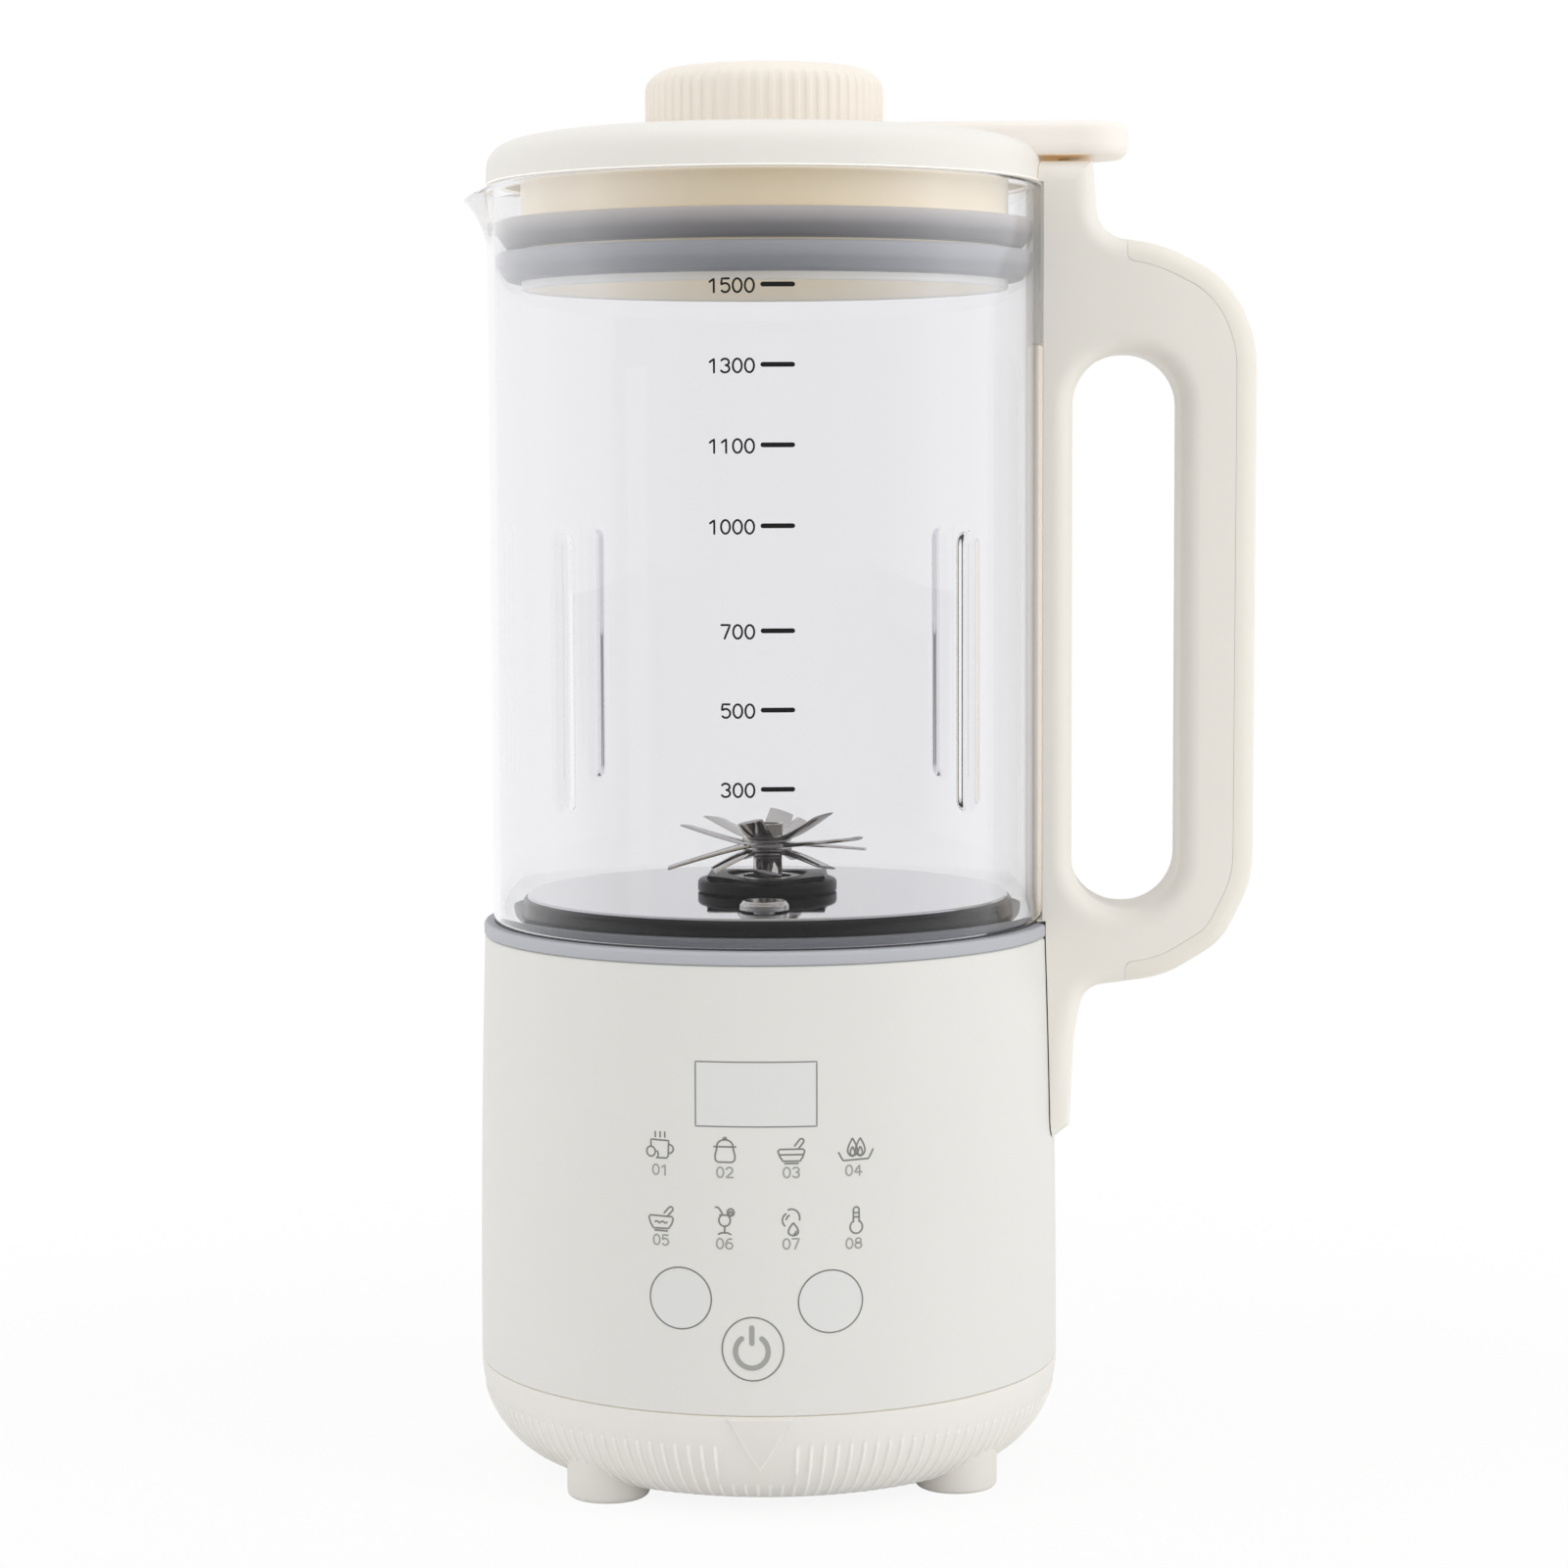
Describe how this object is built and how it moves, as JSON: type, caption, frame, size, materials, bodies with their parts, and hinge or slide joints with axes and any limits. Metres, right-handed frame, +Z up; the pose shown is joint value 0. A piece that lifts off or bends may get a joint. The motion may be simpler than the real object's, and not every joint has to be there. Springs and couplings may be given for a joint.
{
  "type": "soy milk maker",
  "caption": "Heated blender jug for soy milk: glass jar with spout on a round motor base with a touch panel, plug-in lid with a fluted vent knob, and a looped side handle.",
  "frame": {"origin": "on the surface that the feet stand on, on the jar's axis", "axes": "+Z up along the jar's axis, +X towards the handle, -Y towards the touch panel"},
  "size_m": [0.1754, 0.1305, 0.3104],
  "materials": {
    "cream_plastic": "satin, lightly glossy",
    "liner_plastic": "satin",
    "grey_silicone": "matt silicone",
    "clear_glass": "clear",
    "steel": "stainless",
    "black_plastic": "satin",
    "rubber": "matt",
    "dark_rubber": "matt",
    "aluminium": "cast",
    "bronze": "sintered",
    "laminated_steel": "varnished laminations",
    "copper_winding": "enamelled wire",
    "carbon": "matt carbon",
    "circuit_board": "satin",
    "white_plastic": "satin"
  },
  "bodies": {
    "machine": {"bottom_bowl": "cream_plastic", "base_housing": "cream_plastic", "foot_front_left": "rubber", "foot_front_right": "rubber", "foot_rear_left": "rubber", "foot_rear_right": "rubber", "support_plate": "aluminium", "jar_ring_seal": "grey_silicone", "glass_jar": "clear_glass", "heating_plate": "steel", "heating_element": "aluminium", "bearing_tube": "steel", "shaft_seal": "dark_rubber", "bush_upper": "bronze", "bush_lower": "bronze", "collar_nut": "black_plastic", "probe_stud": "steel", "motor_stator": "laminated_steel", "field_coil_front": "copper_winding", "field_coil_rear": "copper_winding", "motor_bracket_top": "aluminium", "motor_bracket_bottom": "aluminium", "motor_bearing_top": "steel", "motor_bearing_bottom": "steel", "brush_left": "carbon", "brush_right": "carbon", "motor_buffer_left": "dark_rubber", "motor_buffer_right": "dark_rubber", "control_board": "circuit_board", "display_module": "black_plastic", "touch_film": "white_plastic", "power_board": "circuit_board", "mains_inlet": "black_plastic", "inlet_pin_left": "steel", "inlet_pin_earth": "steel", "inlet_pin_right": "steel", "handle_body": "cream_plastic", "handle_cover": "cream_plastic", "handle_pad": "grey_silicone", "handle_screw_1": "steel", "handle_screw_2": "steel", "lid_switch": "black_plastic", "plunger_spring": "steel"},
    "rotor": {"blade_shaft": "steel", "drive_coupling": "black_plastic", "motor_shaft": "steel", "motor_rotor": "laminated_steel", "cooling_fan": "black_plastic", "blade_lower": "steel", "blade_middle": "steel", "blade_upper": "steel", "blade_nut": "steel"},
    "lid": {"lid_dome": "cream_plastic", "lid_liner": "liner_plastic", "wiper_seal_upper": "grey_silicone", "wiper_seal_lower": "grey_silicone"},
    "filler_cap": {"cap_stopper": "cream_plastic", "cap_seal": "grey_silicone"},
    "knob": {"vent_knob": "cream_plastic"},
    "plunger": {"interlock_plunger": "white_plastic"}
  },
  "joints": [
    {"name": "blade_spin", "type": "hinge", "parent": "machine", "child": "rotor", "pos_m": [0, 0, 0.1282], "axis": [0, 0, 1], "continuous": true},
    {"name": "lid_lift", "type": "slide", "parent": "machine", "child": "lid", "axis": [0, 0, 1], "range_m": [0, 0.04]},
    {"name": "filler_cap_lift", "type": "slide", "parent": "lid", "child": "filler_cap", "axis": [0, 0, 1], "range_m": [0, 0.03]},
    {"name": "knob_turn", "type": "hinge", "parent": "filler_cap", "child": "knob", "pos_m": [0, 0, 0.2965], "axis": [0, 0, 1], "range_deg": [0, 60]},
    {"name": "plunger_slide", "type": "slide", "parent": "machine", "child": "plunger", "axis": [0, 0, 1], "range_m": [0, 0.0025], "deforming": ["plunger_spring"]}
  ],
  "couplings": [
    {"joint": "plunger_slide", "follows": "lid_lift", "ratio": 0.0625}
  ]
}
